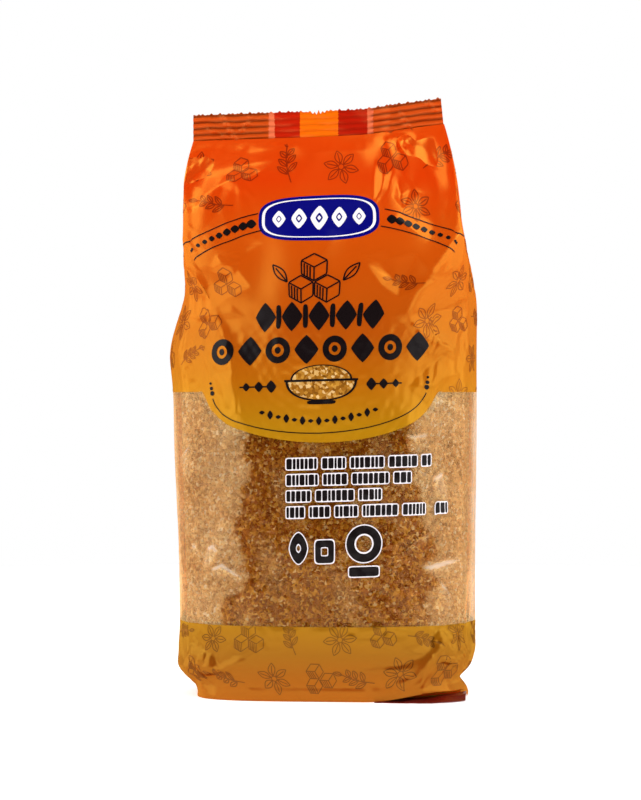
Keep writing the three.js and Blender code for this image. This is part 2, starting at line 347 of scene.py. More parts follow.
def relaxed_film(u, z, start):
    front_z = np.linspace(0, FILM_TOP_Z, 413)
    front = film_at(np.zeros_like(front_z), front_z, folds=0)
    run = np.concatenate([[0], np.cumsum(np.linalg.norm(np.diff(front, axis=0), axis=1))])
    turn = 2 * np.pi * u / (2 * HALF_ROUND)
    radius = RELAXED_ROUND / (2 * np.pi)
    height = np.interp(z, front_z, run) * SPARE_HEIGHT
    rest = np.stack([radius * np.sin(turn), -radius * np.cos(turn), height], axis=-1)

    cloth = mesh_object("film_cloth", start, tube_faces(*z.shape).tolist(), CLOTH_SCALE)
    cloth.shape_key_add(name="Basis")
    rest_key = cloth.shape_key_add(name="rest")
    rest_key.data.foreach_set("co", (rest * CLOTH_SCALE).reshape(-1))
    x, y = plain_film(u, z)
    held = np.maximum(np.clip(1 - (z - 1.5) / 4, 0, 1), np.clip((z - 202.5) / 2, 0, 1))
    for side, path, height, reach, sharp in FOLDS:
        if sharp or abs(height) > 2:
            crest = 0.9 * np.exp(-((distance_to_path(path, x, z) / 1.5) ** 2))
            held = np.maximum(held, np.where((np.sign(y) == side) & (crest > 0.25), crest, 0))
    pins = cloth.vertex_groups.new(name="held")
    for index in np.nonzero(held.reshape(-1))[0]:
        pins.add([int(index)], float(held.reshape(-1)[index]), "REPLACE")

    body_u, body_z = np.meshgrid(round_tube(SUGAR_COLUMNS), np.arange(1, SUGAR_TOP_Z, 2.0))
    inset = 0.9 + 1.6 * hump(np.abs(body_u), HALF_ROUND / 2, 17) + 2.2 * (1 - ease(4, 20, body_z))
    body_points = film_at(body_u, body_z, inset=inset, folds=0)
    body_points[..., :2] *= sugar_dome(body_z)[..., None]
    body_faces = tube_faces(*body_u.shape).tolist()
    body_faces.append(list(range(body_u.size - SUGAR_COLUMNS, body_u.size)))
    body = mesh_object("sugar_body", body_points, body_faces, CLOTH_SCALE)
    bpy.context.view_layer.objects.active = body
    bpy.ops.object.modifier_add(type="COLLISION")
    body.collision.thickness_outer = 0.004
    body.collision.cloth_friction = 5

    bpy.context.view_layer.objects.active = cloth
    bpy.ops.object.modifier_add(type="CLOTH")
    modifier = cloth.modifiers[0]
    modifier.point_cache.frame_end = CLOTH_FRAMES
    modifier.collision_settings.distance_min = 0.004
    modifier.collision_settings.collision_quality = 3
    for key, value in {
        "quality": 7, "mass": 0.05, "air_damping": 2, "tension_stiffness": 60,
        "compression_stiffness": 60, "shear_stiffness": 25, "bending_stiffness": 2,
        "tension_damping": 15, "compression_damping": 15, "shear_damping": 10,
        "bending_damping": 1, "vertex_group_mass": "held", "rest_shape_key": rest_key,
        "use_pressure": True, "uniform_pressure_force": 0.25,
    }.items():
        setattr(modifier.settings, key, value)
    modifier.settings.effector_weights.gravity = 0.25
    for frame_number in range(1, CLOTH_FRAMES + 1):
        bpy.context.scene.frame_set(frame_number)
    cloth.active_shape_key_index = 0
    settled = cloth.evaluated_get(bpy.context.evaluated_depsgraph_get()).to_mesh()
    points = np.zeros(start.size)
    settled.vertices.foreach_get("co", points)
    bpy.context.scene.frame_set(1)
    for done in (cloth, body):
        bpy.data.objects.remove(done)
    return points.reshape(start.shape) / CLOTH_SCALE


def calmed(points, rounds, amount):
    """The grid evened out with its neighbours, by an amount for each point."""
    for _ in range(rounds):
        around = (np.roll(points, 1, axis=1) + np.roll(points, -1, axis=1)) / 2
        along = points.copy()
        along[1:-1] = (points[2:] + points[:-2]) / 2
        even = (2 * points + around + along) / 4
        points = points + (even - points) * amount[..., None]
    return points


coarse_u = round_tube(COARSE_COLUMNS)
coarse_z = row_heights(coarse_u, COARSE_ROWS)
coarse_u = np.broadcast_to(coarse_u, coarse_z.shape)
film_points = film_at(coarse_u, coarse_z)
middle = (film_points.min(axis=(0, 1)) + film_points.max(axis=(0, 1))) / 2 * [1, 1, 0]
film_points = relaxed_film(coarse_u, coarse_z, film_points)
from_side = np.abs(np.abs(coarse_u) - HALF_ROUND / 2)
film_points = calmed(film_points, 8, ease(132, 152, coarse_z) * (1 - ease(196, 203, coarse_z))
                     * ease(31, 42, from_side))
film_points = refined(film_points, FINER, wrap=False)
film_points = refined(film_points.swapaxes(0, 1), FINER, wrap=True).swapaxes(0, 1) - middle
column_u = round_tube(COLUMNS)
film_z = row_heights(column_u, ROW_COUNTS)


def outward(points):
    """Unit vectors square to a grid that runs round the tube and up it."""
    around = np.roll(points, -1, axis=1) - np.roll(points, 1, axis=1)
    normals = np.cross(around, np.gradient(points, axis=0))
    return normals / np.linalg.norm(normals, axis=-1, keepdims=True)


# Facets of the crumpled film, each bounded by creases: on the front (-1) or the back (1), how far
# it falls behind them (or stands out, where less than 0), how fast, and its corners as (x, z).
# These follow the photograph, and smaller ones are strewn between them.
FACETS = [
    (-1, 5.5, 17, [(-11, 206), (-17, 198), (-24, 192.5), (-36, 189), (-42, 185), (-46, 178),
                   (-70, 178), (-70, 214)]),
    (-1, 1.4, 6, [(-36, 181), (-33, 172), (-20, 166), (-26, 162), (-38, 164), (-70, 160), (-70, 178)]),
    (-1, 2.4, 8, [(-70, 158), (-30, 158), (-24, 150), (-33, 146), (-40, 140), (-70, 140)]),
    (-1, -1.6, 5, [(-37, 162), (-27.5, 160), (-30, 154.5), (-39, 156)]),
    (-1, 4.0, 10, [(33, 204), (38, 196), (50, 190), (70, 190), (70, 215)]),
    (-1, 2.0, 7, [(28, 176), (36, 184), (70, 182), (70, 168), (40, 166)]),
    (-1, 2.4, 5, [(20, 198), (27, 195), (25, 186), (20, 180)]),
    (-1, 2.4, 5, [(28, 190), (33, 186), (31, 178), (27, 183)]),
    (-1, 3.0, 9, [(18, 158), (36, 162), (44, 152), (30, 146), (24, 150)]),
    (-1, -1.4, 5, [(-38, 118), (-29, 120), (-27, 98), (-36, 90)]),
    (-1, -1.6, 5, [(33, 114), (47, 127), (52, 118), (44, 104)]),
    (-1, -0.9, 1.2, [(-50, 49.5), (-46.3, 56.3), (-44.5, 55.6), (-42.5, 50.5), (-45.5, 53)]),
    (-1, -0.8, 1.0, [(-42.5, 48), (-40.2, 55.5), (-37.8, 56.3), (-35.5, 53.5), (-38.2, 48.5),
                     (-40, 47)]),
    (-1, -0.9, 1.2, [(-39.5, 47.3), (-34.4, 49.8), (-26, 44.6), (-28.7, 43), (-37, 44.6)]),
    (-1, -0.8, 1.2, [(-53, 87), (-47.4, 92.5), (-45.2, 83.7), (-48.8, 79.8)]),
    (-1, -0.8, 1.2, [(31.5, 96), (40.5, 97), (39.8, 91.5), (34.4, 90.4)]),
    (-1, -0.8, 1.2, [(41.4, 80.5), (45.4, 83), (48, 72.5), (45, 72), (42.6, 75.5)]),
    (-1, -0.7, 1.0, [(30, 53), (36.1, 58.9), (42.6, 61.5), (40, 57.6), (34.7, 54)]),
    (-1, -1.0, 1.2, [(37, 48.2), (46.9, 51), (54, 51.6), (50.5, 48.2), (44.8, 46.2), (40.5, 46)]),
    (-1, -0.9, 1.2, [(43.4, 45), (46.9, 40.8), (49.6, 34.6), (44.6, 29.4), (42, 36.8)]),
    (-1, -1.6, 2, [(-49, 15), (-41, 7.5), (-34, 10.6), (-39, 17), (-47, 20)]),
    (-1, -1.4, 2.2, [(44, 27), (51, 23.7), (53, 10.6), (46, 13), (41, 22)]),
    (-1, -0.8, 1.6, [(36, 3.5), (49, 9.5), (51, 5), (47, 2)]),
    (1, 4, 12, [(-12, 206), (-20, 190), (-44, 182), (-70, 180), (-70, 212)]),
    (1, 4, 12, [(16, 206), (22, 188), (40, 176), (70, 178), (70, 212)]),
    (1, 3, 10, [(-30, 172), (-12, 168), (-22, 150), (-42, 152)]),
]
# The strewn ones, by zone: its lower left and upper right corner, how many facets, the most
# that they fall behind (the least that they stand out, below 0), and how far they reach
STREWN = [((-46, 138), (46, 202), 44, 1.6, 15), ((-58, 30), (-34, 98), 16, -0.3, 8),
          ((46, 30), (60, 98), 12, -0.3, 8)]
strew = np.random.default_rng(19)
for low, high, count, deepest, largest in STREWN:
    for _ in range(count):
        spot = strew.uniform(low, high)
        angles = np.sort(strew.uniform(0, 2 * math.pi, 4))
        radii = strew.uniform(0.4 * largest, largest, 4)
        corners = [(spot[0] + r * math.cos(a), spot[1] + 0.8 * r * math.sin(a))
                   for a, r in zip(angles, radii)]
        FACETS.append((strew.choice([-1, 1]), strew.uniform(-0.08 * largest, deepest),
                       0.4 * largest, corners))


def facet_relief(points):
    """How far the film stands out at its points, from the facets. It fades at the sides."""
    x, y, z = np.moveaxis(points, -1, 0)
    out = np.zeros(x.shape)
    for side, depth, reach, corners in FACETS:
        closed = corners + corners[:1]
        inside = np.zeros(x.shape, bool)
        for (ax, az), (bx, bz) in zip(closed, closed[1:]):
            crosses = (z < az) != (z < bz)
            inside ^= crosses & (x < ax + (z - az) * (bx - ax) / (bz - az + 1e-9))
        near = inside & (np.sign(y) == side)
        deep = np.tanh(distance_to_path(closed, x[near], z[near]) / reach)
        out[near] -= depth * deep
    edge = np.abs(x) / side_reach(x, z)
    return out * (1 - ease(0.8, 1, edge)) * (1 - ease(192, 204, z))


crumples = facet_relief(film_points)
film_points += crumples[..., None] * outward(film_points)


def srgb(code):
    """A colour written as sRGB hex, made linear for Blender."""
    parts = [int(code[i:i + 2], 16) / 255 for i in (1, 3, 5)]
    return [c / 12.92 if c <= 0.04045 else ((c + 0.055) / 1.055) ** 2.4 for c in parts] + [1]


def new_tree(name):
    """A material with only its output left, and its node tree."""
    material = bpy.data.materials.new(name)
    material.use_nodes = True
    tree = material.node_tree
    tree.nodes.clear()
    tree.nodes.new("ShaderNodeOutputMaterial")
    return material, tree


def add(tree, kind, inputs=None, **settings):
    """Adds a node with its settings. Inputs are values, sockets, or nodes for their first output."""
    node = tree.nodes.new("ShaderNode" + kind)
    for key, value in settings.items():
        if key == "stops":
            while len(node.color_ramp.elements) < len(value):
                node.color_ramp.elements.new(1)
            for element, (position, colour) in zip(node.color_ramp.elements, value):
                element.position = position
                element.color = srgb(colour)
        elif key == "steps":
            node.color_ramp.interpolation = value
        else:
            setattr(node, key, value)
    for key, value in (inputs or {}).items():
        value = value.outputs[0] if isinstance(value, bpy.types.Node) else value
        if isinstance(value, bpy.types.NodeSocket):
            tree.links.new(value, node.inputs[key])
        else:
            node.inputs[key].default_value = value
    return node


def finish_material(tree, shader):
    tree.links.new(shader.outputs[0], tree.nodes["Material Output"].inputs["Surface"])


def mark(piece, name, values):
    """Gives each point of a piece a number that its material reads by name."""
    piece.data.attributes.new(name, "FLOAT", "POINT").data.foreach_set("value", values)


def dress(piece, material):
    """Gives a piece its material, puts it under the root body, and hides the imported pouch that it
    stands in for.
    """
    piece.data.materials.append(material)
    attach(piece, "root")
    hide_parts("pouch")


FILM_UV_HEIGHT = 230


def film_piece(name, keep):
    """The part of the film whose cells are kept, as a mesh with its place on the film as UV."""
    faces = tube_faces(film_points.shape[0], COLUMNS, keep)
    used, inverse = np.unique(faces, return_inverse=True)
    made = mesh_object(name, film_points.reshape(-1, 3)[used], inverse.reshape(-1, 4).tolist())
    layer = made.data.uv_layers.new(name="film")
    cell_column = np.nonzero(keep)[1]
    corner_u = np.stack([cell_column, cell_column + 1, cell_column + 1, cell_column], 1) / COLUMNS
    corner_v = film_z.reshape(-1)[faces] / FILM_UV_HEIGHT
    layer.data.foreach_set("uv", np.stack([corner_u, corner_v], -1).reshape(-1))
    return made


cell_rows = np.arange(sum(ROW_COUNTS))[:, None]
cell_u = (column_u + HALF_ROUND / COLUMNS)[None, :]
in_band = np.broadcast_to(cell_rows < ROW_COUNTS[0], (len(cell_rows), COLUMNS))
in_label = np.broadcast_to(cell_rows >= ROW_COUNTS[0] + ROW_COUNTS[1], in_band.shape)
in_back = ~in_band & (np.abs(cell_u) >= WINDOW_HALF)
in_window = ~in_band & ~in_label & ~in_back


def film_bump(tree):
    """The faint unevenness of thin film: broad dents, and finer puckers in them."""
    place = add(tree, "TexCoord")
    broad = add(tree, "TexNoise", {"Vector": place.outputs["Object"], "Scale": 70.0, "Detail": 3.0})
    return add(tree, "Bump", {"Height": broad, "Distance": 0.0003, "Strength": 0.35})


# Printed film: reverse-printed cast polypropylene. The ink lies under the gloss, so the colour
# is even and saturated, and the soft shine on top is warmed by it.
INK_HEIGHTS = (0, 10, 17, 27, 98, 117, 132, 150, 168, 190, 205)
GROUND_INK = ("#9E420A", "#883806", "#814106", "#8F5805", "#AE780A", "#B05C04", "#AE4804",
              "#BC4804", "#CC4A05", "#DA3401", "#DC3C03")
PATTERN_INK = ("#66290A", "#562206", "#522806", "#5A3604", "#7A4A0A", "#7C3604", "#782803",
               "#802A04", "#8A2A04", "#962004", "#962204")
MOST_SHINE = 0.26


def label_ink(tree, colours):
    """The print's colour, which runs from yellow at the window to red orange at the seal."""
    place = add(tree, "UVMap", uv_map="film")
    split = add(tree, "SeparateXYZ", {"Vector": place})
    ramp = [(height / FILM_UV_HEIGHT, colour) for height, colour in zip(INK_HEIGHTS, colours)]
    return add(tree, "ValToRGB", {"Fac": split.outputs[1]}, stops=ramp)


def glossy(tree, colour, roughness=0.25, reflection=2.2, tint="#FFC64A"):
    """Ink under gloss. The light that comes back through the ink warms the shine."""
    bump = film_bump(tree)
    ink = add(tree, "BsdfDiffuse", {"Color": colour, "Normal": bump})
    shine = add(tree, "BsdfGlossy", {"Color": srgb(tint), "Roughness": roughness, "Normal": bump})
    facing = add(tree, "Fresnel", {"IOR": reflection, "Normal": bump})
    amount = add(tree, "Math", {0: facing, 1: MOST_SHINE}, operation="MINIMUM")
    return add(tree, "MixShader", {0: amount, 1: ink, 2: shine})


def opaque_ink(name, code):
    """Gloss over an ink that hides what is behind it, whose shine stays weak and white."""
    ink, tree = new_tree(name)
    finish_material(tree, glossy(tree, srgb(code), reflection=1.25, tint="#FFFFFF"))
    return ink


def grains(tree, scale):
    """Small cells, and a random tone for each."""
    place = add(tree, "TexCoord")
    cells = add(tree, "TexVoronoi", {"Vector": place.outputs["Object"], "Scale": scale})
    return cells, add(tree, "SeparateColor", {"Color": cells.outputs["Color"]})


printed_film, tree = new_tree("reverse_printed_polypropylene")
finish_material(tree, glossy(tree, label_ink(tree, GROUND_INK)))
dress(film_piece("label_film", in_label & ~in_back), printed_film)
dress(film_piece("back_film", in_back), printed_film)
dress(film_piece("band_film", in_band), printed_film)

# Clear film: the same polypropylene without ink. Where it clings to the sugar it is all but
# unseen, and where it stands off, at both sides and in its creases, it shows as a warm haze with
# sharp edges. That haze is a pale diffuse colour, partly real haze and partly painted reflection of
# the side lamps, and the sugar behind it gets painted light too. The edge on either side of the
# front is a list of (z, u).
STANDOFF_AND_LIGHT_EDGES = {
    -1: [(27.8, -40), (36.8, -36), (40.4, -30), (45.8, -25.4), (53, -30), (62, -31.5), (73, -29),
         (83.7, -26), (94.6, -27), (106, -28)],
    1: [(27.8, 41), (36.8, 41), (44, 44.8), (49.4, 38.5), (51, 45), (56.6, 44), (65.7, 39.4),
        (80, 35.8), (91, 33.3), (98, 34.7), (106, 34)],
}


def off_sugar(u, z):
    """How far the window's film stands off, which also sets the painted light at the sides: 0 in the
    middle, 1 at the sides, 2 at the fold.
    """
    wander = 1.2 * np.sin(z / 2.3 + u / 9) + 0.8 * np.sin(z / 0.9 + 1)
    share = 0
    for side, edge in STANDOFF_AND_LIGHT_EDGES.items():
        heights, places = np.transpose(edge)
        limit = np.interp(z, heights, places)
        share = share + ease(-0.6, 1.6, side * (u - limit) + wander)
    patches = 0.8 + 0.2 * np.sin(u / 6.1 + z / 11) * np.sin(z / 7.3 - u / 14)
    inner = 0.25 * ease(0.2, 0.9, np.sin(u / 4.3 + z / 17) * np.sin(z / 8.9 + u / 21))
    side_fold = ease(61, 72, np.abs(u)) * (1 - ease(73, 80, np.abs(u)))
    return np.maximum(share, inner) * patches + side_fold


clear_film, tree = new_tree("clear_polypropylene")
bump = film_bump(tree)
through = add(tree, "BsdfTransparent", {"Color": srgb("#FBF3EC")})
# The inner face adds a little to the outer one's shine.
shine_colour = [1.15 * c for c in srgb("#FFC884")]
shine = add(tree, "BsdfGlossy", {"Color": shine_colour, "Roughness": 0.13, "Normal": bump})
# Painted reflection: a pale diffuse haze stands in for the side lamps' sheen where the film stands off,
# and for the light on the upper sides of its creases.
off = add(tree, "Attribute", attribute_name="off_sugar")
standoff_and_light_level = add(tree, "MapRange", {0: off.outputs["Fac"], 2: 2.0})
painted_sheen_and_haze_colour = add(tree, "ValToRGB", {"Fac": standoff_and_light_level},
           stops=[(0.0, "#FFD890"), (0.55, "#FFE2AC"), (1.0, "#FFF4E4")])
haze_and_painted_sheen = add(tree, "BsdfDiffuse", {"Color": painted_sheen_and_haze_colour})
facing = add(tree, "Fresnel", {"IOR": 1.6, "Normal": bump})
amount = add(tree, "ValToRGB", {"Fac": standoff_and_light_level},
             stops=[(0.0, "#000000"), (0.5, "#6A6A6A"), (1.0, "#ACACAC")])
hazy = add(tree, "MixShader", {0: amount, 1: through, 2: haze_and_painted_sheen})
film_mix = add(tree, "MixShader", {0: facing, 1: hazy, 2: shine})
finish_material(tree, film_mix)
window = film_piece("window_film", in_window)
window_points = np.unique(tube_faces(film_points.shape[0], COLUMNS, in_window))
# Painted light: the window's haze is stronger where the film stands out in a crease, and painted lighter
# on the creases' upper sides, where light from above falls.
crease_standoff_and_light = 0.3 * ease(0.1, 0.6, crumples)
painted_light_on_upper_sides = 0.9 * ease(0.04, 0.3, -np.gradient(crumples, axis=0))
film_standoff_and_light = off_sugar(np.broadcast_to(column_u, film_z.shape), film_z)
window_standoff_and_light = (film_standoff_and_light + crease_standoff_and_light + painted_light_on_upper_sides).reshape(-1)[window_points]
mark(window, "off_sugar", window_standoff_and_light)
dress(window, clear_film)

# Heat seal
# The top edge, where hot ribbed jaws pressed the tube shut: four layers of film at both ends,
# where the sides are tucked in, and two in the middle. It is cut off with small teeth.
SEAL_FOOT_Z = 203.6
SEAL_HEIGHT = 11.9
RIB_PITCH = 2.3
RIB_HEIGHT = 0.4
TOOTH_PITCH = 1.6
SEAL_CREASES = [[(-39.7, 12), (-32.5, 0)], [(-28.4, 10), (-31.7, 6)], [(-44, 7), (-38, 4)],
                [(27.9, 9), (33, 0)], [(37, 12), (41, 8)]]


def flat_grid(name, columns, rows):
    """A grid as a piece, and each point's place across and along it, from 0 to 1."""
    bpy.ops.mesh.primitive_grid_add(x_subdivisions=columns, y_subdivisions=rows, size=1)
    made = bpy.context.object
    made.name = name
    points = np.zeros(len(made.data.vertices) * 3)
    made.data.vertices.foreach_get("co", points)
    across, along = points.reshape(-1, 3)[:, :2].T + 0.5
    return made, across, along


def thickened(piece, points, thickness, offset):
    """Moves a grid's points to their places and gives it the film's thickness."""
    piece.data.vertices.foreach_set("co", (points * MM).reshape(-1))
    bpy.ops.object.modifier_add(type="SOLIDIFY")
    piece.modifiers[0].thickness = thickness * MM
    piece.modifiers[0].offset = offset
    bpy.ops.object.modifier_apply(modifier=piece.modifiers[0].name)
    bpy.ops.object.shade_smooth_by_angle(angle=math.radians(40))
    piece.select_set(False)


seal, share_x, share_z = flat_grid("heat_seal", 240, 60)
seal_left = film_points[-1, :, 0].min() + middle[0]
seal_right = film_points[-1, :, 0].max() + middle[0]
seal_x = seal_left + (seal_right - seal_left) * share_x
seal_x -= 1.2 * share_z * ease(0.9, 1, share_x)
rise = SEAL_HEIGHT * share_z
four_layers = np.maximum(1 - ease(0.29, 0.31, share_x), ease(0.7, 0.72, share_x))
wander = 0.08 * np.sin(seal_x / 3.1) + 0.05 * np.sin(seal_x / 1.3 + 2)
rib = np.cos(2 * np.pi * (rise + wander) / RIB_PITCH) * ease(1, 2.5, rise)
teeth = np.abs((seal_x / TOOTH_PITCH) % 1 - 0.5) * (0.9 + 0.7 * np.sin(seal_x * 1.7))
teeth = teeth * ease(0.93, 1, share_z)
creases = sum(0.9 * np.exp(-1.6 * distance_to_path(path, seal_x, rise)) for path in SEAL_CREASES)
uneven = 0.75 + 0.35 * np.sin(seal_x / 4.1 + rise / 2.3) * np.sin(seal_x / 9.7 - rise)
press = RIB_HEIGHT * (0.25 + 0.75 * four_layers) * rib * uneven
teeth = teeth - 1.3 * hump(seal_x, -3.5, 3) * np.abs(np.sin(seal_x * 2.1)) * ease(0.85, 1, share_z)
pucker = 0.35 * np.sin(seal_x / 2.7 + 0.4 * rise) * (1 - four_layers) + 0.3 * np.sin(seal_x / 6.5)
seal_points = np.stack([
    seal_x,
    seal_sway(seal_x) - 0.35 + press + pucker * ease(0, 6, rise) - 0.8 * hump(seal_x, 24, 2.2)
    - creases,
    SEAL_FOOT_Z + rise + seal_rise(seal_x) + teeth,
], axis=1) - middle
seal.data.uv_layers.active.name = "film"
# Painted shade in the grooves between the ribs, strongest where four layers are pressed.
mark(seal, "groove", np.clip(0.5 + rib / 2, 0, 1) * (0.35 + 0.65 * four_layers))
thickened(seal, seal_points, 0.55, 0)

# Sealed film: the layers let light through differently, so each fold of the sides shows as a
# field of its own colour, with edges that wander where the jaws caught them.
sealed_film, tree = new_tree("heat_sealed_polypropylene")
place = add(tree, "UVMap", uv_map="film")
split = add(tree, "SeparateXYZ", {"Vector": place})
ragged = add(tree, "TexNoise", {"Vector": place, "Scale": 26.0, "Detail": 4.0})
shift = add(tree, "MapRange", {0: ragged, 3: -0.008, 4: 0.008})
across = add(tree, "Math", {0: split, 1: shift}, operation="ADD")
fields = add(tree, "ValToRGB", {"Fac": across}, steps="CONSTANT", stops=[
    (0.0, "#D04A10"), (0.30, "#F0744A"), (0.322, "#C41803"), (0.425, "#FF6E04"),
    (0.575, "#B61003"), (0.695, "#E86A46"), (0.718, "#D24A10")])
streaks = add(tree, "TexNoise", {"Vector": add(tree, "Mapping", {
    "Vector": place, "Scale": (6, 30, 1)}), "Scale": 3.0, "Detail": 3.0})
# Painted shade: the ribs' grooves are darkened in the colour, and noise streaks darken it further at
# random.
groove = add(tree, "Attribute", attribute_name="groove")
streaks_and_groove_shade = add(tree, "Math", {0: streaks, 1: groove.outputs["Fac"]}, operation="ADD")
deep = add(tree, "MapRange", {0: streaks_and_groove_shade, 1: 0.5, 2: 1.5, 3: 1.0, 4: 0.3})
shaded = add(tree, "Mix", {0: 1.0, 6: fields, 7: deep}, data_type="RGBA", blend_type="MULTIPLY")
finish_material(tree, glossy(tree, shaded.outputs[2], 0.3, 1.7, "#FFA860"))
dress(seal, sealed_film)

# Folded base
# The tube is folded flat under the sugar and sealed across. At the front right a corner of the
# fold, which shows the film's dark red inner side, stands out under the edge.
BASE_RISE = 0.8
BASE_ROWS = 14

inwards = np.linspace(0, 1, BASE_ROWS)[:, None]
rim = film_points[0]
base_points = np.stack([
    rim[:, 0] * (1 - 0.05 * inwards),
    rim[:, 1] * (1 - inwards),
    rim[:, 2] + (BASE_RISE - rim[:, 2]) * ease(0, 0.22, inwards) + 0 * inwards,
], axis=-1)
base = mesh_object("folded_base", base_points, tube_faces(BASE_ROWS, COLUMNS)[:, ::-1].tolist())
# Its map is left as Blender makes it, the full square on each face. Only the underside shows it.
base.data.uv_layers.new(name="film")
dress(base, printed_film)

flap, along, back = flat_grid("base_corner", 60, 12)
flap_x = 21 + 32.6 * along
front_edge = np.interp(flap_x, [21, 36, 46, 53.6], [-31.6, -32.2, -31.0, -24.5])
flap_points = np.stack([
    flap_x,
    front_edge + back * (20 - 6 * along),
    0.3 + 1.5 * ease(26, 50, flap_x) * ease(0, 0.5, back) + 0.4 * ease(34, 54, flap_x)
    + 0.12 * np.sin(flap_x / 1.7),
], axis=1)
thickened(flap, flap_points, 0.35, -1)

# Inner side of the film, a flood of dark red ink that the outer print hides.
dress(flap, opaque_ink("flood_coated_polypropylene", "#620C05"))

# Sugar
# A kilogram of raw cane sugar, golden brown crystals about a millimetre and a half long. The
# body of it is a closed core with the crystals' relief, a little narrower than the film at the
# sides, and loose crystals lie on it behind the window.
CORE_COLUMNS = 360
CORE_STEP = 0.9
CORE_FOOT_Z = 3
CORE_TOP_Z = 148
CRYSTAL_LENGTH = 1.4


def core_at(u, z):
    """The sugar's outer form: just behind the faces, further in at the sides."""
    at_side = hump(np.abs(u), HALF_ROUND / 2, 15)
    inset = 1.15 + 3.0 * at_side + 3.2 * (1 - ease(4, 24, z))
    points = film_at(u, z, inset=inset, folds=0)
    points[..., :2] *= sugar_dome(z)[..., None]
    return points - middle


core_u, core_z = np.meshgrid(round_tube(CORE_COLUMNS), np.arange(CORE_FOOT_Z, CORE_TOP_Z, CORE_STEP))
core_points = core_at(core_u, core_z)
random_numbers = np.random.default_rng(41)
core_points += random_numbers.normal(0, 0.08, core_points.shape)
core_faces = tube_faces(*core_u.shape).tolist()
core_faces.append(list(range(CORE_COLUMNS))[::-1])
core_faces.append(list(range(core_u.size - CORE_COLUMNS, core_u.size)))
sugar_core = mesh_object("sugar_core", core_points, core_faces)

# Raw cane sugar: clear crystals under a thin coat of molasses, so pale gold where light comes
# through one and deep brown in the gaps between them.
SUGAR_TONES = [(0.0, "#9A5006"), (0.35, "#BC6E10"), (0.7, "#DC9C28"), (0.88, "#F4C452"),
               (1.0, "#FFEEB0")]
# Painted light: the paler tones that the sugar takes at the sides, where the film stands off.
PAINTED_LIGHT_TONES = [(0.0, "#C8903A"), (0.35, "#E6B25A"), (0.7, "#FAD686"), (0.88, "#FFEDB4"),
              (1.0, "#FFFCE6")]
raw_sugar, tree = new_tree("raw_cane_sugar")
cells, tone = grains(tree, 800.0)


def sugar_colour(tree, tone):
    """A crystal's colour by its tone, with painted light: paler where the film stands off at the sides.
    """
    plain_tone = add(tree, "ValToRGB", {"Fac": tone}, stops=SUGAR_TONES)
    painted_light_tone = add(tree, "ValToRGB", {"Fac": tone}, stops=PAINTED_LIGHT_TONES)
    off = add(tree, "Attribute", attribute_name="off_sugar")
    return add(tree, "Mix", {0: off.outputs["Fac"], 6: plain_tone, 7: painted_light_tone},
               data_type="RGBA").outputs[2]


colour = sugar_colour(tree, tone)
bump = add(tree, "Bump", {"Height": cells.outputs["Distance"], "Distance": 0.0006,
                          "Strength": 0.5}, invert=True)
grain = add(tree, "BsdfPrincipled", {"Base Color": colour, "Normal": bump,
                                     "Roughness": 0.42, "IOR": 1.54,
                                     "Specular Tint": srgb("#FFC880")})
finish_material(tree, grain)
# The core's painted side light, from where the film stands off.
mark(sugar_core, "off_sugar", off_sugar(core_u, core_z).reshape(-1))
dress(sugar_core, raw_sugar)


def crystal_shape(size, cuts):
    """One crystal: a cube drawn out to its length, with corners cut off, at the origin."""
    bpy.ops.mesh.primitive_cube_add(size=1)
    made = bpy.context.object
    bpy.ops.object.mode_set(mode="EDIT")
    bpy.ops.transform.resize(value=size)
    for point, normal in cuts:
        bpy.ops.mesh.select_all(action="SELECT")
        bpy.ops.mesh.bisect(plane_co=point, plane_no=normal, use_fill=True, clear_outer=True)
    bpy.ops.mesh.select_all(action="SELECT")
    bpy.ops.mesh.quads_convert_to_tris()
    bpy.ops.object.mode_set(mode="OBJECT")
    points = np.array([v.co for v in made.data.vertices])
    faces = np.array([p.vertices for p in made.data.polygons])
    bpy.data.objects.remove(made)
    return points, faces


def scattered(name, shape, count):
    """Copies of a crystal, turned at random, spread over the sugar behind the window."""
    points, faces = shape
    draw = random_numbers.random((count, 7))
    u = (draw[:, 0] * 2 - 1) * (WINDOW_HALF + 1)
    z = BAND_TOP_Z - 3 + draw[:, 1] * (LABEL_SIDE_Z + 5 - BAND_TOP_Z)
    turn = draw[:, 2:6] * 2 - 1
    turn /= np.linalg.norm(turn, axis=1, keepdims=True)
    w, a, b, c = turn.T
    spin = np.stack([1 - 2 * (b * b + c * c), 2 * (a * b - c * w), 2 * (a * c + b * w),
                     2 * (a * b + c * w), 1 - 2 * (a * a + c * c), 2 * (b * c - a * w),
                     2 * (a * c - b * w), 2 * (b * c + a * w), 1 - 2 * (a * a + b * b)], 1)
    size = CRYSTAL_LENGTH * (0.65 + 0.6 * draw[:, 6])
    moved = np.einsum("nij,pj->npi", spin.reshape(-1, 3, 3), points) * size[:, None, None]
    moved += core_at(u, z)[:, None, :]
    starts = (np.arange(count) * len(points))[:, None, None]
    made = mesh_object(name, moved, (faces[None] + starts).reshape(-1, 3).tolist(), smooth=False)
    mark(made, "shade", np.repeat(random_numbers.random(count), len(points)))
    # Painted side light on the crystals, where the film stands off.
    mark(made, "off_sugar", np.repeat(off_sugar(u, z), len(points)))
    return made


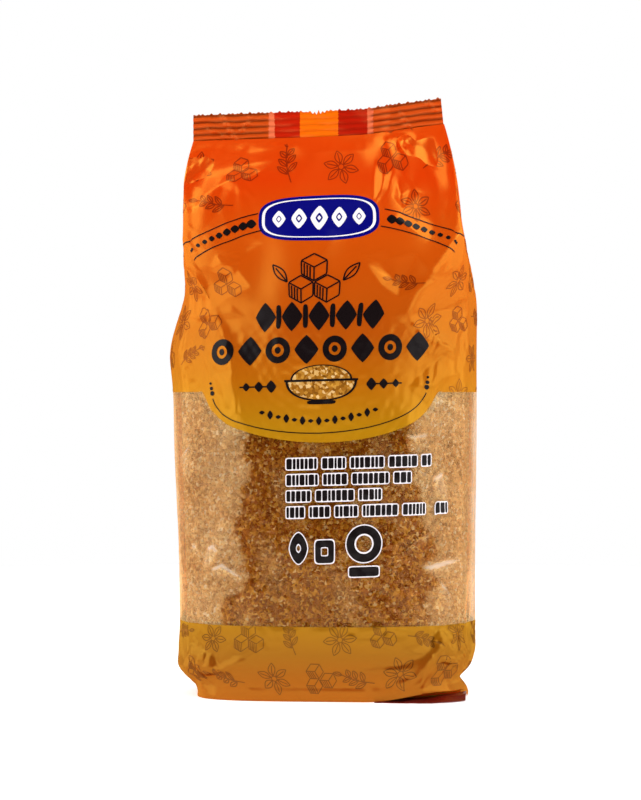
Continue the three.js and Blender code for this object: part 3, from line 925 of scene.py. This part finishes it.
# Each kind of crystal by its size, for a length of 1, and by the planes that cut its corners
CRYSTALS = {
    "crystals_long": ((1, 0.72, 0.6),
                      [((0.32, 0, 0.2), (1, 0, 0.9)), ((-0.34, 0.1, 0), (-1, 0.8, 0))]),
    "crystals_short": ((0.85, 0.8, 0.7),
                       [((0.28, 0.26, 0), (1, 1, 0)), ((-0.3, 0, -0.2), (-1, 0, -1))]),
    "crystals_flat": ((0.95, 0.85, 0.42),
                      [((0.3, -0.3, 0), (1, -1, 0)), ((-0.3, 0.3, 0), (-1, 1, 0.3))]),
}
CRYSTALS_OF_A_KIND = 6400

# Loose crystals of the same sugar: their flat faces catch the light one by one.
loose_sugar, tree = new_tree("loose_cane_sugar")
shade = add(tree, "Attribute", attribute_name="shade")
colour = sugar_colour(tree, shade.outputs["Fac"])
grain = add(tree, "BsdfPrincipled", {"Base Color": colour, "Roughness": 0.22,
                                     "IOR": 1.54, "Specular Tint": srgb("#FFD080")})
glow = add(tree, "BsdfTranslucent", {"Color": colour})
finish_material(tree, add(tree, "MixShader", {0: 0.12, 1: grain, 2: glow}))

for name, (size, cuts) in CRYSTALS.items():
    crystals = scattered(name, crystal_shape(size, cuts), CRYSTALS_OF_A_KIND)
    crystals.visible_shadow = False
    dress(crystals, loose_sugar)

# Print
# The pattern, the ornaments and the plain marks over the window, printed on the film's inner
# side in solid inks. Each ink is a thin mesh that follows the film's folds, so its edges stay
# sharp. It is drawn flat, in millimetres round the film and up it, and then laid on.
PRINT_LIFT = 0.08
OVERPRINT_LIFT = 0.16
PRINT_STEP = 0.8
PRINT_TILT = 0.028
SEAM_WIDTH = 11

film_normals = outward(film_points)


def on_film(u, z, lift):
    """Points a lift above the relaxed film, at positions u round it and heights z."""
    edges = row_edges(u)
    row = sum(np.clip((z - low) / (high - low), 0, 1) * count
              for low, high, count in zip(edges, edges[1:], ROW_COUNTS))
    row = np.clip(row, 0, sum(ROW_COUNTS) - 0.001)
    column = (u + HALF_ROUND) / (2 * HALF_ROUND) * COLUMNS
    lower, before = np.floor(row).astype(int), np.floor(column).astype(int)
    up, right = (row - lower)[..., None], (column - before)[..., None]
    place = 0
    for i, j, weight in ((0, 0, (1 - up) * (1 - right)), (0, 1, (1 - up) * right),
                         (1, 0, up * (1 - right)), (1, 1, up * right)):
        spot = (lower + i, (before + j) % COLUMNS)
        lifted = film_points[spot] + np.asarray(lift)[..., None] * film_normals[spot]
        place = place + weight * lifted
    return place


def stroke(path, width):
    """A line of even width along a path, as a grid of (u, z) points two across."""
    path = np.array(path, float)
    run = run_along(*np.diff(path, axis=0).T)
    wanted = np.linspace(0, run[-1], int(run[-1] / PRINT_STEP) + 2)
    spots = np.stack([np.interp(wanted, run, path[:, k]) for k in (0, 1)], axis=1)
    along = np.gradient(spots, axis=0)
    across = np.stack([-along[:, 1], along[:, 0]], axis=1) / np.hypot(*along.T)[:, None]
    return np.stack([spots + across * width / 2, spots - across * width / 2], axis=1)


def blot(centre, half_size, power=2.0, hole=0.0, turn=0.0, sweep=2 * math.pi):
    """A filled superellipse, a lozenge at power 1, with a hole of that share where asked."""
    longest = max(half_size)
    x, y = rounded(np.linspace(turn, turn + sweep, 1500), power)
    x, y = x * half_size[0], y * half_size[1]
    run = run_along(np.diff(x), np.diff(y))
    wanted = np.linspace(0, run[-1], max(24, int(run[-1] / PRINT_STEP)))
    x, y = np.interp(wanted, run, x), np.interp(wanted, run, y)
    share = np.linspace(hole, 1, max(2, int((1 - hole) * longest / PRINT_STEP) + 1))[:, None]
    return np.stack([centre[0] + x * share, centre[1] + y * share], axis=-1)


def tilted(shapes):
    return [np.stack([s[..., 0], s[..., 1] + PRINT_TILT * s[..., 0]], axis=-1) for s in shapes]


def grid_quads(rows, columns, start=0):
    """The faces of a grid of points, numbered row by row."""
    corner = start + np.add.outer(np.arange(rows - 1) * columns, np.arange(columns - 1)).ravel()
    return np.stack([corner, corner + 1, corner + columns + 1, corner + columns], axis=1)


def set_film_uv(piece, spots):
    """Gives a piece its place on the film as UV, from the (u, z) of its points."""
    corners = np.zeros(len(piece.data.loops), int)
    piece.data.loops.foreach_get("vertex_index", corners)
    film_uv = spots[corners] / [2 * HALF_ROUND, FILM_UV_HEIGHT] + [0.5, 0]
    piece.data.uv_layers.new(name="film").data.foreach_set("uv", film_uv.reshape(-1))


def printed(name, shapes, material, lift=PRINT_LIFT, inside=None):
    """Lays flat shapes, each a grid of (u, z) points, on the film as one mesh."""
    starts = np.cumsum([0] + [s.shape[0] * s.shape[1] for s in shapes])
    quads = np.concatenate([grid_quads(*s.shape[:2], start) for s, start in zip(shapes, starts)])
    spots = np.concatenate([s.reshape(-1, 2) for s in shapes])
    u, z = spots[quads, 0], spots[quads, 1]
    area = ((u[:, 2] - u[:, 0]) * (z[:, 3] - z[:, 1])
            - (u[:, 3] - u[:, 1]) * (z[:, 2] - z[:, 0])) / 2
    quads[area < 0] = quads[area < 0][:, ::-1]
    keep = np.abs(area) > 1e-4
    if inside is not None:
        keep &= inside(u.mean(axis=1), z.mean(axis=1))
    used, inverse = np.unique(quads[keep], return_inverse=True)
    spots = spots[used]
    made = mesh_object(name, on_film(spots[:, 0], spots[:, 1], lift), inverse.reshape(-1, 4).tolist())
    set_film_uv(made, spots)
    bpy.context.view_layer.objects.active = made
    bpy.ops.object.mode_set(mode="EDIT")
    bpy.ops.mesh.select_all(action="SELECT")
    bpy.ops.mesh.remove_doubles(threshold=0.002 * MM)
    bpy.ops.object.mode_set(mode="OBJECT")
    made.select_set(False)
    dress(made, material)


def curve(x, y, count=14):
    """Points of a curve given by x and y as functions of a share from 0 to 1."""
    t = np.linspace(0, 1, count)
    return np.stack([x(t) + 0 * t, y(t) + 0 * t], axis=1)


def leaf(length, width):
    """A pointed leaf that starts at the origin and lies along u, with its vein."""
    return [curve(lambda t: length * t, lambda t: width * np.sin(np.pi * t)),
            curve(lambda t: length * t, lambda t: -width * np.sin(np.pi * t)),
            curve(lambda t: length * 0.8 * t, lambda t: 0 * t, 4)]


def placed(paths, turn, size=1.0, spot=(0, 0)):
    c, s = math.cos(turn) * size, math.sin(turn) * size
    return [np.asarray(p) @ np.array([[c, s], [-s, c]]) + spot for p in paths]


# The three small drawings of the pattern, as lines about 12 mm across: a heap of three sugar
# cubes, a flower with six petals, and a twig with leaves on alternate sides
HALF_CUBE = 3.1


def sugar_cube(spot, half=HALF_CUBE):
    rim = [(half * math.sin(math.pi * k / 3), half * math.cos(math.pi * k / 3)) for k in range(7)]
    edges = [[(0, 0), rim[k]] for k in (1, 3, 5)]
    shading = [[(-0.87 * half + s, end * half - 0.58 * s) for end in (-0.45, 0.4)]
               for s in (0.2 * half, 0.4 * half, 0.6 * half)]
    return placed([rim] + edges + shading, 0, spot=spot)


def blossom(petals=6, petal=5.2):
    lines = []
    for k in range(petals):
        lines += placed(placed(leaf(petal, 1.35), 0, spot=(1.1, 0)), 2 * math.pi * k / petals)
    return lines + [curve(lambda t: 1.1 * np.cos(2 * np.pi * t),
                          lambda t: 1.1 * np.sin(2 * np.pi * t), 9)]


def twig():
    lines = [curve(lambda t: 13 * t - 6.5, lambda t: 1.3 * np.sin(2.2 * t))]
    for k, at in enumerate([-3.5, -2.6, -0.4, 0.6, 2.6, 3.4]):
        lines += placed(leaf(4.6 - 0.3 * k, 0.85), (-1) ** k * 0.75, spot=(at, 0.9))
    return lines + placed(leaf(3.4, 0.7), 0.05, spot=(6.3, 1.1))


DRAWINGS = [sugar_cube((-2.4, -1.2)) + sugar_cube((3.3, -1.9)) + sugar_cube((0.4, 3.4)),
            blossom(), twig()]
PATTERN_PITCH = 16.5
PATTERN_ROW_PITCH = PATTERN_PITCH * 0.867
PATTERN_LINE = 0.36

# Places the pattern leaves free for the larger print: u from, to, z from, to
FREE_OF_PATTERN = [(-27, 26, 160, 189), (-46, -20, 160, 178), (20, 46, 160, 178),
                   (-20, 18, 142, 168), (-33, 34, 130, 150), (-46, 48, 116, 136),
                   (-44, 44, 80, 124), (-150, -101, 26, 140), (101, 150, 26, 140)]


def pattern_lines():
    draw = np.random.default_rng(5)
    lines = []
    for row, z in enumerate(np.arange(9, 202, PATTERN_ROW_PITCH)):
        for column, u in enumerate(np.arange(-HALF_ROUND, HALF_ROUND - 8, PATTERN_PITCH)):
            jitter = draw.uniform(-1.8, 1.8, 2)
            turn = draw.uniform(-0.6, 0.6) + draw.choice([0, math.pi / 2, math.pi])
            u_here = u + jitter[0] + PATTERN_PITCH / 2 * (row % 2)
            z_here = z + jitter[1]
            kind = (row + 2 * column) % 3
            turn = turn if kind else turn / 6
            if any(a < u_here < b and c < z_here < d for a, b, c, d in FREE_OF_PATTERN):
                continue
            lines += placed(DRAWINGS[kind], turn, draw.uniform(0.85, 1.05), (u_here, z_here))
    return lines


def off_window(u, z):
    return (z < BAND_TOP_Z - 0.1) | (z > np.where(np.abs(u) < WINDOW_HALF, label_z(u), 0) + 0.1)


# Pattern ink: a transparent brown red, so it follows the ground's colours and is darker.
pattern_ink, tree = new_tree("transparent_brown_ink")
finish_material(tree, glossy(tree, label_ink(tree, PATTERN_INK), tint="#FFA850"))
pattern = [stroke(line, PATTERN_LINE) for line in pattern_lines()]
printed("pattern_print", pattern, pattern_ink,
        inside=lambda u, z: off_window(u, z) & (z > 2.5) & (z < 203) & (np.abs(u) < HALF_ROUND - 6))

# Opaque inks: a blue black, a deep blue and a white, each as even as the press lays them.
black_ink = opaque_ink("blue_black_ink", "#120A0B")
blue_ink = opaque_ink("deep_blue_ink", "#04046E")
white_ink = opaque_ink("opaque_white_ink", "#EDE6EA")

# The badge: an oval field in blue with a white line round it and a row of white lozenges
BADGE = (-0.8, 175.4)
BADGE_HALF = (19.9, 8.3)
printed("badge_field", tilted([blot(BADGE, BADGE_HALF, 3.2)]), blue_ink)
badge_marks = [blot(BADGE, (BADGE_HALF[0] - 1.1, BADGE_HALF[1] - 1.1), 3.2, hole=0.95)]
for k in range(-2, 3):
    spot = (BADGE[0] + 6.6 * k, BADGE[1])
    badge_marks.append(blot(spot, (2.9 - 0.35 * abs(k), 4.6 - 0.7 * abs(k)), 1.25, hole=0.42))
    badge_marks.append(blot(spot, (0.6, 0.9), 1.2))
printed("badge_marks", tilted(badge_marks), white_ink, lift=OVERPRINT_LIFT)

# The ornaments in black: arcs with dots beside the badge, sugar cubes, two bold rows of lozenges
# and rings, a dish of sugar, and a line of dots over a thin arc
ARC_CENTRE_Z = 90.3
marks = []
for side in (-1, 1):
    for radius in (83.5, 90):
        marks.append(stroke(curve(
            lambda t: side * radius * np.sin(0.235 + 0.315 * t),
            lambda t: ARC_CENTRE_Z + radius * np.cos(0.235 + 0.315 * t), 30), 0.38))
    for k in range(9):
        at, dot = 0.27 + 0.032 * k, 1.7 - 0.13 * k
        spot = (side * 86.8 * math.sin(at), ARC_CENTRE_Z + 86.8 * math.cos(at))
        marks.append(blot(spot, (dot, dot), 1.4))
cubes = [sugar_cube(spot, 5.0) for spot in ((-6.6, 149.2), (2.6, 149.2), (-2, 157.2))]
leaves = [placed(leaf(8, 1.6), turn, spot=(u, 152)) for u, turn in ((-11.5, 2.2), (8, 0.9))]
marks += [stroke(line, 0.5) for drawing in cubes + leaves for line in drawing]
marks += [blot((-20 + 10 * k, 139.4), (3.9, 5.3), 1.15) for k in range(5)]
marks += [blot((-15 + 10 * k, 139.4), (0.95, 4.3), 4) for k in range(4)]
for k in range(8):
    spot = (-35.5 + 10.35 * k, 127.4)
    if k % 2:
        marks.append(blot(spot, (4.3, 5.2), 1.15))
    else:
        marks.append(blot(spot, (4.5, 4.7), 2, hole=0.5))
        marks.append(blot(spot, (1.1, 1.2)))
for k in range(15):
    u = -21 + 3 * k
    marks.append(blot((u, 101.6 + 0.008 * u * u), (1.05, 1.6 if k % 2 else 0.7), 1.3))
ARC_HALF_WIDTH = 40.3
marks.append(stroke(curve(
    lambda t: ARC_HALF_WIDTH * np.sin(1.48 * (2 * t - 1)),
    lambda t: LABEL_SIDE_Z - 14.8 * np.cos(1.48 * (2 * t - 1)), 60), 0.36))
for side in (-1, 1):
    for k in range(3):
        dot = 0.85 - 0.2 * k
        marks.append(blot((side * (ARC_HALF_WIDTH + 0.3 * k), 112.6 + 1.8 * k), (dot, dot)))

# The dish: its bowl, its foot, its rim and the lines beside it
marks.append(blot((1, 116.2), (13.2, 7.4), 2.3, hole=0.93, turn=math.pi, sweep=math.pi))
marks.append(stroke([(-12.6, 116.2), (14.6, 116.2)], 0.8))
marks.append(blot((1, 108.3), (5.4, 0.7), 4))
for side in (-1, 1):
    marks.append(stroke([(1 + side * 17, 114.4), (1 + side * 30, 114.4)], 0.5))
    for k in range(3):
        marks.append(blot((1 + side * (18.5 + 4.6 * k), 114.4), (1.9 - 0.3 * k, 2.3 - 0.4 * k), 1.2))
heap = blot((1, 116.4), (11.4, 5.4), 2, sweep=math.pi)
marks.append(blot((1, 116.4), (11.4, 5.4), 2, hole=0.94, sweep=math.pi))
printed("ornament_print", tilted(marks), black_ink, lift=OVERPRINT_LIFT)

# A halftone picture of sugar fills the dish: brown and buff specks.
halftone, tree = new_tree("brown_halftone_ink")
picture = add(tree, "ValToRGB", {"Fac": grains(tree, 950.0)[1]}, stops=[
    (0.0, "#6B3A0C"), (0.4, "#9A5E18"), (0.7, "#B9802F"), (1.0, "#E3BE84")])
finish_material(tree, glossy(tree, picture))
dish = [heap, blot((1, 116.2), (12.3, 6.7), 2.3, turn=math.pi, sweep=math.pi)]
printed("dish_picture", tilted(dish), halftone)

# Over the window: four rows of plain upright marks and three simple shapes, each in black on a
# slightly larger white shape
BAR_HEIGHT = 3.8
BAR_GAP = 0.36
WORD_GAP = 1.7
KEYLINE = 0.42
SIMPLE_SHAPES = [((-7.6, 56), (3.3, 5.6), 1.6, 0.3), ((2.2, 54.6), (3.5, 4.1), 7, 0.4),
                 ((17, 57), (6.6, 6.6), 2, 0.55), ((17, 47), (5.6, 1.7), 9, 0)]
draw = np.random.default_rng(12)
bars, plates = [], []
for row_z, row_end in ((86.3, 42), (80.5, 33), (74.7, 24), (68.9, 50)):
    u = -12.0
    while u < row_end:
        word_start, count = u, draw.integers(4, 9)
        for width in draw.uniform(0.8, 2.1, count):
            bars.append(blot((u + width / 2, row_z), (width / 2, BAR_HEIGHT / 2), 9))
            u += width + BAR_GAP
            if u > row_end:
                break
        plates.append(blot(((word_start + u - BAR_GAP) / 2, row_z),
                           ((u - BAR_GAP - word_start) / 2 + KEYLINE, BAR_HEIGHT / 2 + KEYLINE), 12))
        u += WORD_GAP
        u = 44.5 if 40.5 < u < 44.5 else u
for centre, half_size, power, hole in SIMPLE_SHAPES:
    bars.append(blot(centre, half_size, power, hole=hole))
    around_it = [h + KEYLINE for h in half_size]
    plates.append(blot(centre, around_it, power, hole=max(0, hole - 0.12)))
printed("mark_plates", tilted(plates), white_ink)
printed("mark_bars", tilted(bars), black_ink, lift=OVERPRINT_LIFT)

# The back: a panel of thin rules at either side of the seam, cream with brown ink, and a flower
# over each of them
cream_ink = opaque_ink("cream_ink", "#E9C98C")
brown_ink = opaque_ink("dark_brown_ink", "#3A1A08")
panels, rules = [], []
for side in (-1, 1):
    panels.append(blot((side * 125, 70), (16, 35), 14))
    rules += [stroke(line, 0.45) for line in placed(blossom(), 0.3, 1.7, (side * 125, 128))]
    for k in range(19):
        z = 100 - 3.3 * k
        length = 26 if k % 5 else 14
        rules.append(stroke([(side * 125 - 13, z), (side * 125 - 13 + length, z)], 0.9 if k % 5 else 1.4))
printed("back_panels", panels, cream_ink)
printed("back_rules", rules, brown_ink, lift=OVERPRINT_LIFT)

# Back seam: the film's two edges, sealed together as a fin and folded flat against the back
SEAM_COLUMNS = 13
SEAM_ROWS = 220
seam_across = np.linspace(-1, 1, SEAM_COLUMNS)[None, :]
seam_up = np.linspace(2, 202, SEAM_ROWS)[:, None]
seam_lift = 0.55 * (1 - np.abs(seam_across) ** 8) + 0.05 * np.cos(2 * np.pi * seam_up / 3) + 0.02
seam_u = HALF_ROUND + SEAM_WIDTH / 2 * seam_across + 0 * seam_up
seam_z = seam_up + 0 * seam_across
seam = mesh_object("back_seam", on_film(seam_u, seam_z, seam_lift),
                   grid_quads(SEAM_ROWS, SEAM_COLUMNS).tolist())
set_film_uv(seam, np.stack([seam_u, seam_z], axis=-1).reshape(-1, 2))
dress(seam, printed_film)

# Stage
# A plain pale round table between two tall soft panels, with a narrow strip behind each and a
# smaller panel above it. The room in front is dim, which keeps the middle of the glossy front
# clear; the fill there doesn't show in the gloss.
bpy.ops.mesh.primitive_circle_add(radius=0.7, vertices=128, fill_type="NGON")
floor = bpy.context.object
floor.name = "floor"
floor_paint, tree = new_tree("opal_acrylic_table")
paint = add(tree, "BsdfDiffuse", {"Color": srgb("#F4F3F1")})
lit_through = add(tree, "Emission", {"Color": srgb("#FFFFFF"), "Strength": 0.42})
finish_material(tree, add(tree, "AddShader", {0: paint, 1: lit_through}))
floor.data.materials.append(floor_paint)


def soft_light(name, place, aim, size, radiance):
    bpy.ops.object.light_add(type="AREA", location=place)
    lamp = bpy.context.object
    lamp.name = name
    lamp.data.shape = "RECTANGLE"
    lamp.data.size, lamp.data.size_y = size
    lamp.data.energy = radiance * math.pi * size[0] * size[1]
    x, y, z = (a - p for a, p in zip(aim, place))
    lamp.rotation_euler = (math.atan2(math.hypot(x, y), -z), 0, math.atan2(-x, y))


# The pairs, as the right one stands: name, place, aim, size and strength
PAIRS = [("panel", (0.68, -0.42, 0.6), (0, 0, 0.6), (0.95, 1.1), 2.0),
         ("top_panel", (0.6, -0.15, 1.15), (0.3, 0, 0.2), (0.5, 0.7), 2.8),
         ("strip", (0.8, 0.16, 0.4), (0, 0, 0.12), (0.35, 0.8), 1.8)]
for kind, (x, y, z), (aim_x, aim_y, aim_z), size, radiance in PAIRS:
    for side, sign in (("left", -1), ("right", 1)):
        soft_light(f"{side}_{kind}", (sign * x, y, z), (sign * aim_x, aim_y, aim_z), size, radiance)
soft_light("front_fill", (0, -1.2, 0.5), (0, 0, 0.1), (0.5, 0.5), 1.9)
bpy.context.object.visible_glossy = False

world = bpy.data.worlds.new("white_room")
bpy.context.scene.world = world
world.use_nodes = True
tree = world.node_tree
tree.nodes.clear()
direction = add(tree, "SeparateXYZ", {0: add(tree, "TexCoord").outputs["Generated"]})
behind = add(tree, "MapRange", {0: direction.outputs["Y"], 1: 0.05, 2: 0.5, 3: 0.07, 4: 0.9})
seen = add(tree, "LightPath")
room = add(tree, "Background", {"Color": (1, 1, 1, 1), "Strength": behind})
backdrop = add(tree, "Background", {"Color": (1, 1, 1, 1), "Strength": 1.0})
choice = add(tree, "MixShader", {0: seen.outputs["Is Camera Ray"], 1: room, 2: backdrop})
world_output = tree.nodes.new("ShaderNodeOutputWorld")
tree.links.new(choice.outputs[0], world_output.inputs["Surface"])
bpy.context.scene.view_settings.view_transform = "Standard"
